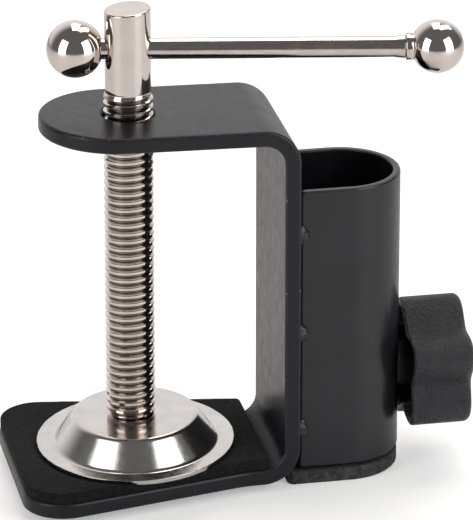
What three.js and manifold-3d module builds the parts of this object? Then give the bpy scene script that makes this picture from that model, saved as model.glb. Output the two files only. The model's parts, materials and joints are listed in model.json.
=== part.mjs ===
// Table clamp with a pole socket: a C-shaped clamp bent from flat bar, a clamp screw with a sliding
// tommy bar and a stamped pressure foot, and a U-shaped pole socket with a thumb screw on its back.
// Millimetres, +Z up. The clamp screw stands on the Z axis, the jaws open toward -X, the socket is at +X,
// and z = 0 is the underside of the lower jaw. The foam foot below the socket hangs a little lower.

import * as THREE from 'three';
import { mergeVertices } from 'three/addons/utils/BufferGeometryUtils.js';
import Module from 'manifold-3d';

const wasm = await Module();
wasm.setup();

// ---- Clamp frame: one flat bar, bent twice ----
const STRAP_THICK = 3.1;
const STRAP_HALF_WIDTH = 14.3;
const SPINE_OUTER_X = 30.45;
const BEND_OUTER_R = 7.2;
const UPPER_JAW_TOP_Z = 72.7;
const NOSE_X = -16.95;
const JAW_RISE = 0.019;
const TIP_X = -23.5;
const TIP_HALF_WIDTH = 24.2;
const TIP_CORNER_R = 8.0;
const FLARE_START_X = 20;
const FLARE_R = 20;
const SCREW_HOLE_R = 5.0;

// ---- Foam pad on the lower jaw ----
const PAD_THICK = 2.1;
const PAD_INSET = 0.3;
const PAD_BACK_X = 24.6;
const PAD_FAR_BACK_Y = 16.6;

// ---- Clamp screw, 3/8 inch by 16 turns per inch ----
const THREAD_R = 4.72;
const THREAD_TOP_Z = 77.5;
const HEAD_R = 4.36;
const HEAD_TOP_Z = 93.7;
const SPIGOT_R = 2.7;
const PEEN_R = 4.3;

// ---- Tommy bar, turned a little about the screw ----
const BAR_R = 2.0;
const BAR_Z = 85.45;
const BAR_TURN = THREE.MathUtils.degToRad(-10);
const BALL_INNER_R = 5.4;
const BALL_OUTER_R = 5.05;
const BALL_INNER_S = -9.85;
const BALL_OUTER_S = 57.95;
const COLLAR_R = 2.6;
const CROSS_HOLE_R = 2.2;

// ---- Stamped pressure foot, loose on the screw's tip and a little off its axis ----
const FOOT_Z = STRAP_THICK + PAD_THICK;
const FOOT_R = 19.1;
const FOOT_TOP_Z = 11.3;
const FOOT_SHIFT_X = 0.85;
const FOOT_HOLE_R = 3.6;

// ---- Pole socket: a U-shaped sleeve tacked to the spine ----
const SOCKET_HALF_WIDTH = 11.5;
const SOCKET_WALL = 1.5;
const SOCKET_START_X = 30.9;
const SOCKET_ARC_X = 40.9;
const SOCKET_BOTTOM_Z = 1.9;
const SOCKET_TOP_Z = 58.7;
const FLOOR_TOP_Z = 3.5;
const FOAM_FOOT_LOW_Z = -1.7;
const FOAM_FOOT_TOP_Z = 1.1;
const FOAM_FOOT_START_X = 28.6;
const WELD_HEIGHTS = { upper: 50.1, middle: 30.1, lower: 10.2 };

// ---- Thumb screw of the socket, M5 ----
const KNOB_Z = 17.3;
const STUD_R = 2.45;
const STUD_TIP_X = 47.9;
const STUD_END_X = 62.6;
const NUT_FLATS = 8;
const NUT_OUTER_X = 55.6;
const KNOB_INNER_X = 53.3;
const KNOB_OUTER_X = 65.6;
const KNOB_MEAN_R = 11.75;
const KNOB_WAVE = 1.25;
const KNOB_WALL = 1.6;
const HOLLOW_X = 58;
const BOSS_X = 56;
const BOSS_R = 4;
const LOBE_COUNT = 5;
const LOBE_START = THREE.MathUtils.degToRad(-9);

// ---- Surface materials ----
const POWDER_COAT = { color: 0x2b2b2d, roughness: 0.55, metalness: 0.1 };
const FOAM = { color: 0x1c1c1d, roughness: 0.95, metalness: 0 };
const NICKEL = { color: 0xcfc9c0, roughness: 0.18, metalness: 1 };
const SATIN_NICKEL = { color: 0xc8c4bd, roughness: 0.32, metalness: 1 };
const PLASTIC = { color: 0x2a2a2c, roughness: 0.6, metalness: 0 };

const model = new THREE.Group();

// ---- Helpers ----

// A closed geometry as a solid. A mesh wound inside out is turned the right way round first.
function toSolid(source) {
  const bare = source.clone();
  bare.deleteAttribute('normal');
  bare.deleteAttribute('uv');
  const merged = mergeVertices(bare, 1e-4);
  const vertProperties = new Float32Array(merged.attributes.position.array);
  const triVerts = dropThinTriangles(new Uint32Array(merged.index.array));
  if (signedVolume(vertProperties, triVerts) < 0) {
    flip(triVerts);
  }
  return new wasm.Manifold(new wasm.Mesh({ numProp: 3, vertProperties, triVerts }));
}

// Triangles whose corners merged into one point or one line, as at the poles of a lathe, are left out.
function dropThinTriangles(tris) {
  const kept = [];
  for (let i = 0; i < tris.length; i += 3) {
    const [a, b, c] = [tris[i], tris[i + 1], tris[i + 2]];
    if (a !== b && b !== c && a !== c) {
      kept.push(a, b, c);
    }
  }
  return new Uint32Array(kept);
}

function signedVolume(points, tris) {
  const [a, b, c] = [new THREE.Vector3(), new THREE.Vector3(), new THREE.Vector3()];
  let sum = 0;
  for (let i = 0; i < tris.length; i += 3) {
    a.fromArray(points, tris[i] * 3);
    b.fromArray(points, tris[i + 1] * 3);
    c.fromArray(points, tris[i + 2] * 3);
    sum += a.dot(b.cross(c)) / 6;
  }
  return sum;
}

function flip(tris) {
  for (let i = 0; i < tris.length; i += 3) {
    const first = tris[i];
    tris[i] = tris[i + 1];
    tris[i + 1] = first;
  }
}

// A solid back as a three.js geometry.
function toGeometry(solid) {
  const mesh = solid.getMesh();
  const geometry = new THREE.BufferGeometry();
  geometry.setAttribute('position', new THREE.BufferAttribute(new Float32Array(mesh.vertProperties), 3));
  geometry.setIndex(new THREE.BufferAttribute(new Uint32Array(mesh.triVerts), 1));
  return geometry;
}

// Adds one named piece to the model.
function addPiece(name, solid, look, parent = model) {
  const geometry = toGeometry(solid);
  geometry.computeVertexNormals();
  const piece = new THREE.Mesh(geometry, new THREE.MeshStandardMaterial(look));
  piece.name = name;
  parent.add(piece);
  return piece;
}

// An outline from corners [x, y, radius], each corner rounded by its radius.
function roundedOutline(corners, stepsPerTurn = 64) {
  const points = [];
  corners.forEach(([x, y, radius], i) => {
    const corner = new THREE.Vector2(x, y);
    if (radius === 0) {
      points.push(corner);
      return;
    }
    const before = corners[(i + corners.length - 1) % corners.length];
    const after = corners[(i + 1) % corners.length];
    const back = new THREE.Vector2(before[0], before[1]).sub(corner).normalize();
    const ahead = new THREE.Vector2(after[0], after[1]).sub(corner).normalize();
    const half = Math.acos(THREE.MathUtils.clamp(back.dot(ahead), -1, 1)) / 2;
    const middle = back.clone().add(ahead).normalize();
    const centre = corner.clone().addScaledVector(middle, radius / Math.sin(half));
    const start = corner.clone().addScaledVector(back, radius / Math.tan(half)).sub(centre);
    const sweep = Math.PI - 2 * half;
    const turn = back.x * ahead.y - back.y * ahead.x > 0 ? -1 : 1;
    const steps = Math.max(2, Math.round((stepsPerTurn * sweep) / (2 * Math.PI)));
    for (let k = 0; k <= steps; k += 1) {
      const spoke = start.clone().rotateAround(new THREE.Vector2(), (turn * sweep * k) / steps);
      points.push(centre.clone().add(spoke));
    }
  });
  return points;
}

// An XY outline standing from one height to another.
function standing(points, low, high) {
  const shape = new THREE.Shape(points);
  const geometry = new THREE.ExtrudeGeometry(shape, { depth: high - low, bevelEnabled: false });
  geometry.translate(0, 0, low);
  return toSolid(geometry);
}

// An XZ outline drawn out along Y, half of it to each side.
function drawnAlongY(points, halfDepth) {
  const shape = new THREE.Shape(points);
  const geometry = new THREE.ExtrudeGeometry(shape, { depth: 2 * halfDepth, bevelEnabled: false });
  geometry.rotateX(Math.PI / 2);
  geometry.translate(0, halfDepth, 0);
  return toSolid(geometry);
}

// A YZ outline drawn out along X from one plane to another.
function drawnAlongX(points, low, high) {
  const shape = new THREE.Shape(points);
  const geometry = new THREE.ExtrudeGeometry(shape, { depth: high - low, bevelEnabled: false });
  geometry.rotateX(Math.PI / 2);
  geometry.rotateZ(Math.PI / 2);
  geometry.translate(low, 0, 0);
  return toSolid(geometry);
}

// A profile of [radius, height] pairs turned about the Z axis.
function turned(profile, segments = 48) {
  const points = profile.map(([radius, height]) => new THREE.Vector2(radius, height));
  const geometry = new THREE.LatheGeometry(points, segments);
  geometry.rotateX(Math.PI / 2);
  return toSolid(geometry);
}

// A cylinder along X, or along Z, between two planes.
function rodAlongX(radius, low, high, y, z, segments = 32) {
  const geometry = new THREE.CylinderGeometry(radius, radius, high - low, segments);
  geometry.rotateZ(-Math.PI / 2);
  geometry.translate((low + high) / 2, y, z);
  return toSolid(geometry);
}

function rodAlongZ(radius, low, high, segments = 48) {
  const geometry = new THREE.CylinderGeometry(radius, radius, high - low, segments);
  geometry.rotateX(Math.PI / 2);
  geometry.translate(0, 0, (low + high) / 2);
  return toSolid(geometry);
}

function block(lowX, highX, lowY, highY, lowZ, highZ) {
  const geometry = new THREE.BoxGeometry(highX - lowX, highY - lowY, highZ - lowZ);
  geometry.translate((lowX + highX) / 2, (lowY + highY) / 2, (lowZ + highZ) / 2);
  return toSolid(geometry);
}

function ball(radius, x, y, z, segments = 28) {
  const geometry = new THREE.SphereGeometry(radius, segments, Math.round(segments * 0.6));
  geometry.translate(x, y, z);
  return toSolid(geometry);
}

// ---- Clamp frame ----

// The side view of the bent bar: a C of even thickness with a rounded bend at each end of the spine.
// The upper jaw rises a little toward its nose.
function strapSideView() {
  const far = -40;
  const innerX = SPINE_OUTER_X - STRAP_THICK;
  const innerR = BEND_OUTER_R - STRAP_THICK;
  const topAt = (x) => UPPER_JAW_TOP_Z - JAW_RISE * x;
  return roundedOutline([
    [far, 0, 0],
    [SPINE_OUTER_X, 0, BEND_OUTER_R],
    [SPINE_OUTER_X, topAt(SPINE_OUTER_X), BEND_OUTER_R],
    [far, topAt(far), 0],
    [far, topAt(far) - STRAP_THICK, 0],
    [innerX, topAt(innerX) - STRAP_THICK, innerR],
    [innerX, STRAP_THICK, innerR],
    [far, STRAP_THICK, 0],
  ]);
}

// The top view of the upper jaw: a straight strip with a half-round nose.
function upperJawPlan() {
  const back = SPINE_OUTER_X + 5;
  return roundedOutline([
    [back, -STRAP_HALF_WIDTH, 0],
    [back, STRAP_HALF_WIDTH, 0],
    [NOSE_X, STRAP_HALF_WIDTH, STRAP_HALF_WIDTH - 0.01],
    [NOSE_X, -STRAP_HALF_WIDTH, STRAP_HALF_WIDTH - 0.01],
  ]);
}

// The top view of the lower jaw: it widens from the spine toward a tip with rounded corners.
function lowerJawPlan() {
  const backX = SPINE_OUTER_X + 5;
  return roundedOutline([
    [backX, -STRAP_HALF_WIDTH, 0],
    [backX, STRAP_HALF_WIDTH, 0],
    [FLARE_START_X, STRAP_HALF_WIDTH, FLARE_R],
    [TIP_X, TIP_HALF_WIDTH, TIP_CORNER_R],
    [TIP_X, -TIP_HALF_WIDTH, TIP_CORNER_R],
    [FLARE_START_X, -STRAP_HALF_WIDTH, FLARE_R],
  ]);
}

function clampFrame() {
  const middleZ = UPPER_JAW_TOP_Z / 2;
  const upper = standing(upperJawPlan(), middleZ, UPPER_JAW_TOP_Z + 5);
  const lower = standing(lowerJawPlan(), -5, middleZ);
  const hole = rodAlongZ(SCREW_HOLE_R, middleZ, UPPER_JAW_TOP_Z + 5);
  return drawnAlongY(strapSideView(), 40).intersect(upper.add(lower)).subtract(hole);
}

// The top view of the pad. Its far side is cut in one straight line and overhangs the jaw near the spine.
function padPlan() {
  const half = STRAP_HALF_WIDTH - PAD_INSET;
  const tip = TIP_X + PAD_INSET;
  const tipHalf = TIP_HALF_WIDTH - PAD_INSET;
  const cornerR = TIP_CORNER_R - PAD_INSET;
  return roundedOutline([
    [PAD_BACK_X, -half, 0],
    [PAD_BACK_X, PAD_FAR_BACK_Y, 1],
    [tip, tipHalf, cornerR],
    [tip, -tipHalf, cornerR],
    [FLARE_START_X, -half, 4],
  ]);
}

// The foam pad, with its back lower edge cut away where the bend starts to rise.
function jawPad() {
  const low = STRAP_THICK;
  const high = low + PAD_THICK;
  const bendX = SPINE_OUTER_X - BEND_OUTER_R;
  const side = [[TIP_X, low], [bendX, low], [PAD_BACK_X, low + 0.7], [PAD_BACK_X, high], [TIP_X, high]];
  const sideView = side.map(([x, z]) => new THREE.Vector2(x, z));
  return standing(padPlan(), low, high).intersect(drawnAlongY(sideView, 40));
}

addPiece('clamp_frame', clampFrame(), POWDER_COAT);
addPiece('jaw_pad', jawPad(), FOAM);

// ---- Pole socket ----

// A D-shaped outline: straight sides from startX, closed by a half circle of the given radius.
function socketOutline(startX, halfWidth, cornerR) {
  const farX = SOCKET_ARC_X + halfWidth;
  return roundedOutline([
    [startX, -halfWidth, cornerR],
    [farX, -halfWidth, halfWidth - 0.01],
    [farX, halfWidth, halfWidth - 0.01],
    [startX, halfWidth, cornerR],
  ]);
}

function socketSleeve() {
  const inner = SOCKET_HALF_WIDTH - SOCKET_WALL;
  const outline = socketOutline(SOCKET_START_X, SOCKET_HALF_WIDTH, 0.7);
  const bore = socketOutline(SOCKET_START_X - 5, inner, 0);
  const outside = standing(outline, SOCKET_BOTTOM_Z, SOCKET_TOP_Z);
  const inside = standing(bore, SOCKET_BOTTOM_Z - 5, SOCKET_TOP_Z + 5);
  const studHole = rodAlongX(STUD_R + 0.3, SOCKET_ARC_X, SOCKET_ARC_X + 20, 0, KNOB_Z);
  return outside.subtract(inside).subtract(studHole);
}

// A tack weld in the corner between the spine and one side wall of the socket.
function tackWeld(side, height) {
  const wallY = side * SOCKET_HALF_WIDTH;
  const bead = ball(1, 0, 0, 0, 16).scale([2.1, 1.1, 2.0]).translate([SPINE_OUTER_X, wallY, height]);
  const farY = wallY + side * 5;
  const [lowY, highY] = [Math.min(wallY, farY), Math.max(wallY, farY)];
  const corner = block(SPINE_OUTER_X, SPINE_OUTER_X + 5, lowY, highY, 0, 80);
  return bead.intersect(corner);
}

addPiece('socket_sleeve', socketSleeve(), POWDER_COAT);
for (const [place, height] of Object.entries(WELD_HEIGHTS)) {
  addPiece(`weld_front_${place}`, tackWeld(-1, height), POWDER_COAT);
  addPiece(`weld_back_${place}`, tackWeld(1, height), POWDER_COAT);
}
const floorOutline = socketOutline(SOCKET_START_X, SOCKET_HALF_WIDTH - SOCKET_WALL - 0.1, 0);
addPiece('socket_floor_plate', standing(floorOutline, FOAM_FOOT_TOP_Z, FLOOR_TOP_Z), POWDER_COAT);
const foamOutline = socketOutline(FOAM_FOOT_START_X, SOCKET_HALF_WIDTH - 0.1, 1.5);
addPiece('socket_foot_pad', standing(foamOutline, FOAM_FOOT_LOW_Z, FOAM_FOOT_TOP_Z), FOAM);

// ---- Thumb screw ----

// The wavy outline of the knob in the YZ plane: five lobes that run smoothly into each other.
function knobOutline(inset) {
  const points = [];
  const steps = 120;
  for (let k = 0; k < steps; k += 1) {
    const angle = (2 * Math.PI * k) / steps;
    const radius = KNOB_MEAN_R - inset + KNOB_WAVE * Math.cos(LOBE_COUNT * (angle - LOBE_START));
    points.push(new THREE.Vector2(-radius * Math.sin(angle), KNOB_Z + radius * Math.cos(angle)));
  }
  return points;
}

// The knob is a shell that is open toward the socket, with a round boss in its middle for the stud.
function knobHead() {
  const body = drawnAlongX(knobOutline(0), KNOB_INNER_X, KNOB_OUTER_X);
  const hollow = drawnAlongX(knobOutline(KNOB_WALL), KNOB_INNER_X - 2, HOLLOW_X);
  const boss = rodAlongX(BOSS_R, BOSS_X, HOLLOW_X + 1, 0, KNOB_Z, 48);
  const studBore = rodAlongX(STUD_R + 0.06, BOSS_X - 1, STUD_END_X + 0.2, 0, KNOB_Z);
  return body.subtract(hollow).add(boss).subtract(studBore);
}

// A hexagon nut whose inner side is hollowed to sit on the round wall of the socket.
function knobNut() {
  const corner = NUT_FLATS / 2 / Math.cos(Math.PI / 6);
  const hexagon = rodAlongX(corner, SOCKET_ARC_X + 9, NUT_OUTER_X, 0, KNOB_Z, 6);
  const wall = rodAlongZ(SOCKET_HALF_WIDTH + 0.3, 0, 60, 96).translate([SOCKET_ARC_X, 0, 0]);
  const thread = rodAlongX(STUD_R + 0.15, SOCKET_ARC_X, NUT_OUTER_X + 5, 0, KNOB_Z);
  return hexagon.subtract(wall).subtract(thread);
}

addPiece('knob_nut', knobNut(), POWDER_COAT);
addPiece('knob_stud', rodAlongX(STUD_R, STUD_TIP_X, STUD_END_X, 0, KNOB_Z), NICKEL);
addPiece('knob_head', knobHead(), PLASTIC);

// ---- Clamp screw, pressure foot and tommy bar ----

// The screw: a peened tip below the foot, a spigot through it, the threaded length and the plain head.
function clampScrew() {
  const solid = turned([
    [0, FOOT_TOP_Z - 2.4],
    [PEEN_R - 0.6, FOOT_TOP_Z - 2.4],
    [PEEN_R, FOOT_TOP_Z - 1.9],
    [PEEN_R, FOOT_TOP_Z - 1.4],
    [SPIGOT_R, FOOT_TOP_Z - 1.4],
    [SPIGOT_R, FOOT_TOP_Z],
    [THREAD_R - 0.7, FOOT_TOP_Z],
    [THREAD_R, FOOT_TOP_Z + 0.8],
    [THREAD_R, THREAD_TOP_Z],
    [HEAD_R, THREAD_TOP_Z + 0.4],
    [HEAD_R, HEAD_TOP_Z - 0.6],
    [HEAD_R - 0.6, HEAD_TOP_Z],
    [0, HEAD_TOP_Z],
  ]);
  const cross = rodAlongX(CROSS_HOLE_R, -20, 20, 0, BAR_Z);
  return solid.subtract(cross.rotate([0, 0, THREE.MathUtils.radToDeg(BAR_TURN)]));
}

// The foot: a shallow cup pressed from sheet, with a flat top, a flat rim and a loose hole for the spigot.
function pressureFoot() {
  const cup = turned([
    [FOOT_HOLE_R, FOOT_TOP_Z],
    [11.5, FOOT_TOP_Z],
    [12.4, FOOT_TOP_Z - 0.5],
    [15.8, FOOT_Z + 1.3],
    [16.6, FOOT_Z + 0.9],
    [FOOT_R, FOOT_Z + 0.9],
    [FOOT_R, FOOT_Z],
    [16, FOOT_Z],
    [15, FOOT_Z + 0.5],
    [11.6, FOOT_TOP_Z - 1.5],
    [11.1, FOOT_TOP_Z - 1.2],
    [FOOT_HOLE_R, FOOT_TOP_Z - 1.2],
    [FOOT_HOLE_R, FOOT_TOP_Z],
  ]);
  return cup.translate([FOOT_SHIFT_X, 0, 0]);
}

addPiece('pressure_foot', pressureFoot(), SATIN_NICKEL);
addPiece('clamp_screw', clampScrew(), NICKEL);

// The bar and its two balls lie along X inside a group that is turned about the screw.
const barGroup = new THREE.Group();
barGroup.position.z = BAR_Z;
barGroup.rotation.z = BAR_TURN;
model.add(barGroup);

// A ball bored to its middle for the end of the bar. The outer ball has a short collar.
function barBall(centre, radius, side) {
  const deep = centre + side * 0.4;
  const open = centre - side * 10;
  const bore = rodAlongX(BAR_R + 0.12, Math.min(deep, open), Math.max(deep, open), 0, 0);
  let solid = ball(radius, centre, 0, 0);
  if (side > 0) {
    solid = solid.add(rodAlongX(COLLAR_R, centre - radius - 0.9, centre, 0, 0));
  }
  return solid.subtract(bore);
}

addPiece('tommy_bar', rodAlongX(BAR_R, BALL_INNER_S, BALL_OUTER_S, 0, 0), NICKEL, barGroup);
addPiece('bar_ball_inner', barBall(BALL_INNER_S, BALL_INNER_R, -1), NICKEL, barGroup);
addPiece('bar_ball_outer', barBall(BALL_OUTER_S, BALL_OUTER_R, 1), NICKEL, barGroup);

export default model;
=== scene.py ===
"""Looks of a screw table clamp with a pole socket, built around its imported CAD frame.

Shapes are worked out in millimetres and turned into metres when a piece is finished. The clamp screw
stands on the Z axis, the jaws open toward -X, and the socket and its thumb screw are at +X.
"""

import json
import math

import bmesh
import bpy
from mathutils import Matrix, Vector, noise


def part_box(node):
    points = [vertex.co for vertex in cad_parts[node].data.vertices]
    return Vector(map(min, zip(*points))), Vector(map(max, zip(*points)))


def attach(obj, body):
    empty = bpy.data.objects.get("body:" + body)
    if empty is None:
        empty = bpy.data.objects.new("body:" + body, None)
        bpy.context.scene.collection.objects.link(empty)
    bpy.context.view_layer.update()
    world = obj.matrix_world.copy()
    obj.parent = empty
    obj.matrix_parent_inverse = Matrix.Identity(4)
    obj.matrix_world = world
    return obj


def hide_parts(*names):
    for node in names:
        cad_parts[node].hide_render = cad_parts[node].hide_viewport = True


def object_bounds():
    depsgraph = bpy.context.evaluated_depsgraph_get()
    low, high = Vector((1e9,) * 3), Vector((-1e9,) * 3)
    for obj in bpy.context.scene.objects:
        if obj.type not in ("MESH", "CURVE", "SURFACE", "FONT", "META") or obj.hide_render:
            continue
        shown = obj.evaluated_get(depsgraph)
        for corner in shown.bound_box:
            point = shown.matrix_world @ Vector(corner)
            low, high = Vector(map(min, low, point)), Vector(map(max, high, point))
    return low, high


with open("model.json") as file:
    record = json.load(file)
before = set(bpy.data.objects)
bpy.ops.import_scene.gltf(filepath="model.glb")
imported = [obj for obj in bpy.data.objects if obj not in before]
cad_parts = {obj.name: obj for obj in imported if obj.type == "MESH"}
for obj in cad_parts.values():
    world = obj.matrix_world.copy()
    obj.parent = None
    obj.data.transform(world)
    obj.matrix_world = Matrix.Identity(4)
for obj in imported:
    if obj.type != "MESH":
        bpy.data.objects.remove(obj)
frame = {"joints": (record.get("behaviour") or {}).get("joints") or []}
CAD_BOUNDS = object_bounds()
JOINTS = {joint["name"]: joint for joint in frame["joints"]}

MM = 0.001


def box_mm(node):
    """The lowest and highest corner of a CAD node in millimetres."""
    low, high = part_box(node)
    return low / MM, high / MM


# ---- Sizes, from the CAD boxes where they give them ----
FRAME_LOW, FRAME_HIGH = box_mm("clamp_frame")
PAD_LOW, PAD_HIGH = box_mm("jaw_pad")
SLEEVE_LOW, SLEEVE_HIGH = box_mm("socket_sleeve")
PLATE_LOW, PLATE_HIGH = box_mm("socket_floor_plate")
FOAM_LOW, FOAM_HIGH = box_mm("socket_foot_pad")
NUT_OUTER_X = box_mm("knob_nut")[1].x
STUD_LOW, STUD_HIGH = box_mm("knob_stud")
KNOB_LOW, KNOB_HIGH = box_mm("knob_head")
SCREW_LOW, SCREW_HIGH = box_mm("clamp_screw")
FOOT_LOW, FOOT_HIGH = box_mm("pressure_foot")

# The strap. The upper jaw rises toward its nose by JAW_RISE per millimetre.
STRAP_THICK = PAD_LOW.z
STRAP_HALF_WIDTH = 14.3
STRAP_EDGE = 0.6
BEND_OUTER_R = 7.2
NOSE_X = -16.95
JAW_RISE = 0.019
JAW_TOP_AT_SCREW = 72.7
TIP_HALF_WIDTH = 24.2
TIP_CORNER_R = 8.0
FLARE_START_X = 20.0
FLARE_R = 20.0
SCREW_HOLE_R = 5.0

# The foam pads.
PAD_INSET = 0.3
PAD_FAR_BACK_Y = 16.6
PAD_EDGE = 0.35

# The clamp screw. The crest and the flank are shares of half a pitch. The head's top rises by HEAD_SLANT
# per millimetre of X.
THREAD_R = SCREW_HIGH.x
THREAD_PITCH = 1.5875
THREAD_DEPTH = 0.84
THREAD_TOP_Z = 77.5
CREST_SHARE = 0.32
FLANK_SHARE = 0.56
HEAD_R = 4.36
HEAD_SLANT = 0.08
SPIGOT_R = 2.7
PEEN_R = 4.3
PEEN_GAP = 0.2

# The pressure foot, measured about its own axis.
FOOT_SHIFT_X = (FOOT_LOW.x + FOOT_HIGH.x) / 2
FOOT_R = (FOOT_HIGH.x - FOOT_LOW.x) / 2
FOOT_HOLE_R = 3.6
FOOT_SHEET = 1.2
FOOT_RIM_THICK = 0.9
FOOT_TOP_R = 12.0
FOOT_FLANK_R = 15.8
FOOT_LEAN_FRONT = math.radians(2.1)
FOOT_LEAN_LEFT = math.radians(1.3)

# The tommy bar. S is a distance along the bar from the screw's axis.
BAR_AXIS = Vector(JOINTS["bar_slide"]["axis"]).normalized()
BAR_Z = 85.45
BAR_R = 2.0
BAR_SWELL = 0.28
BAR_SWELL_LENGTH = 2.2
BAR_TENON_R = BAR_R - 0.15
BALL_INNER_R = 5.4
BALL_OUTER_R = 5.05
BALL_INNER_S = -9.85
BALL_OUTER_S = 57.95
COLLAR_R = 2.6
COLLAR_LENGTH = 0.9

# The pole socket. Its round wall has its centre line at SOCKET_ARC_X.
SOCKET_WALL = 1.5
SOCKET_ARC_X = 40.9
SOCKET_HALF_WIDTH = SLEEVE_HIGH.y
SOCKET_EDGE = 0.5
SOCKET_CORNER_R = 0.9
WELD_REACH = Vector((2.037, 1.067, 1.94))

# The thumb screw.
KNOB_Z = (STUD_LOW.z + STUD_HIGH.z) / 2
STUD_R = (STUD_HIGH.z - STUD_LOW.z) / 2
STUD_PITCH = 0.8
STUD_THREAD_DEPTH = 0.45
NUT_FLATS = 8.0
KNOB_MEAN_R = 11.35
KNOB_WAVE = 1.65
KNOB_WALL = 1.6
HOLLOW_X = 58.0
BOSS_X = 56.0
BOSS_R = 4.0
LOBE_COUNT = 5
LOBE_START = math.radians(-9)
KNOB_EDGE = 1.6
KNOB_CROWN = 0.3
RIM_EDGE = 0.45

# A rounding this much smaller than the half width turns a straight end into a half circle.
HALF_CIRCLE_GAP = 0.01
ROUND_STEPS = 64
KNOB_STEPS = 240
SHARP_ANGLE = math.radians(38)


# ---- Outlines ----

def rounded(corners, closed=True, step=math.radians(6)):
    """The points of a polygon, or of an open line, whose corners (u, v, radius) are rounded."""
    points = []
    for i, (u, v, radius) in enumerate(corners):
        corner = Vector((u, v))
        if radius == 0 or (not closed and i in (0, len(corners) - 1)):
            points.append(corner)
            continue
        back = (Vector(corners[i - 1][:2]) - corner).normalized()
        ahead = (Vector(corners[(i + 1) % len(corners)][:2]) - corner).normalized()
        half = back.angle(ahead) / 2
        centre = corner + (back + ahead).normalized() * radius / math.sin(half)
        start = corner + back * radius / math.tan(half) - centre
        sweep = math.pi - 2 * half
        turn = -1 if back.x * ahead.y - back.y * ahead.x > 0 else 1
        steps = max(2, math.ceil(sweep / step))
        for k in range(steps + 1):
            points.append(centre + Matrix.Rotation(turn * sweep * k / steps, 2) @ start)
    return points


def inset_outline(outline, distance):
    """A counter-clockwise outline moved inward by a distance."""
    moved = []
    for i, point in enumerate(outline):
        before = (point - outline[i - 1]).normalized()
        after = (outline[(i + 1) % len(outline)] - point).normalized()
        inward = Vector((-before.y - after.y, before.x + after.x)).normalized()
        lean = max(0.5, inward.dot(Vector((-before.y, before.x))))
        moved.append(point + inward * distance / lean)
    return moved


def d_outline(start_x, half_width, corner_r):
    """The socket's plan: straight sides from start_x, closed by a half circle."""
    far_x = SOCKET_ARC_X + half_width
    return rounded([
        (start_x, -half_width, corner_r),
        (far_x, -half_width, half_width - HALF_CIRCLE_GAP),
        (far_x, half_width, half_width - HALF_CIRCLE_GAP),
        (start_x, half_width, corner_r),
    ], step=math.radians(3))


# ---- Solids ----

def join_rows(bm, lower, upper):
    """Faces between two rings of vertices. A ring of one vertex is a pole."""
    count = max(len(lower), len(upper))
    for i in range(count):
        j = (i + 1) % count
        if len(lower) == 1:
            bm.faces.new((lower[0], upper[j], upper[i]))
        elif len(upper) == 1:
            bm.faces.new((lower[i], lower[j], upper[0]))
        else:
            bm.faces.new((lower[i], lower[j], upper[j], upper[i]))


def add_rings(bm, rings, closed=False):
    """A skin over rings of points. Returns the rows of vertices."""
    rows = [[bm.verts.new(point) for point in ring] for ring in rings]
    for lower, upper in zip(rows, rows[1:]):
        join_rows(bm, lower, upper)
    if closed:
        join_rows(bm, rows[-1], rows[0])
    return rows


def circle(radius, height, segments):
    """A ring of points about Z, or one point where the radius is zero."""
    if radius == 0:
        return [Vector((0, 0, height))]
    angles = [2 * math.pi * i / segments for i in range(segments)]
    return [Vector((radius * math.cos(a), radius * math.sin(a), height)) for a in angles]


def turned(bm, profile, segments=96, closed=False):
    """A profile of (radius, height) turned about Z."""
    return add_rings(bm, [circle(radius, height, segments) for radius, height in profile], closed)


def slab(outline, low, high, edge, steps=5):
    """A flat solid with rounded edges. The edge attribute is 1 in the middle of each rounding."""
    bm = bmesh.new()
    mark = bm.verts.layers.float.new("edge")
    half = []
    for k in range(steps + 1):
        angle = math.pi / 2 * k / steps
        half.append((edge * (1 - math.sin(angle)), edge * (1 - math.cos(angle)), math.sin(2 * angle)))
    levels = [(inset, low + rise, weight) for inset, rise, weight in half]
    levels += [(inset, high - rise, weight) for inset, rise, weight in reversed(half)]
    rows = []
    for inset, height, weight in levels:
        row = [bm.verts.new((p.x, p.y, height)) for p in inset_outline(outline, inset)]
        for vertex in row:
            vertex[mark] = weight
        rows.append(row)
    for lower, upper in zip(rows, rows[1:]):
        join_rows(bm, lower, upper)
    bm.faces.new(list(reversed(rows[0])))
    bm.faces.new(rows[-1])
    return bm


def cut_at(bm, axis, places):
    """Adds a loop of edges where the mesh crosses each plane across an axis."""
    for place in places:
        geometry = bm.verts[:] + bm.edges[:] + bm.faces[:]
        bmesh.ops.bisect_plane(bm, geom=geometry, plane_co=axis * place, plane_no=axis)


def keep_above(bm, point, normal, fill=True):
    """Cuts away what is below a plane, closes the cut if asked to, and returns its edges."""
    geometry = bm.verts[:] + bm.edges[:] + bm.faces[:]
    cut = bmesh.ops.bisect_plane(bm, geom=geometry, plane_co=point, plane_no=normal, clear_inner=True)
    edges = [item for item in cut["geom_cut"] if isinstance(item, bmesh.types.BMEdge)]
    if fill:
        bmesh.ops.edgenet_fill(bm, edges=edges)
    return edges


def subtract(bm, cutter):
    """The first solid less the second."""
    objects = []
    for source in (bm, cutter):
        bmesh.ops.recalc_face_normals(source, faces=source.faces)
        mesh = bpy.data.meshes.new("solid")
        source.to_mesh(mesh)
        source.free()
        objects.append(bpy.data.objects.new("solid", mesh))
        bpy.context.scene.collection.objects.link(objects[-1])
    modifier = objects[0].modifiers.new("cut", "BOOLEAN")
    modifier.object = objects[1]
    modifier.operation = "DIFFERENCE"
    modifier.solver = "EXACT"
    evaluated = objects[0].evaluated_get(bpy.context.evaluated_depsgraph_get())
    result = bmesh.new()
    result.from_mesh(evaluated.to_mesh())
    for item in objects:
        mesh = item.data
        bpy.data.objects.remove(item)
        bpy.data.meshes.remove(mesh)
    return result


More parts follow.
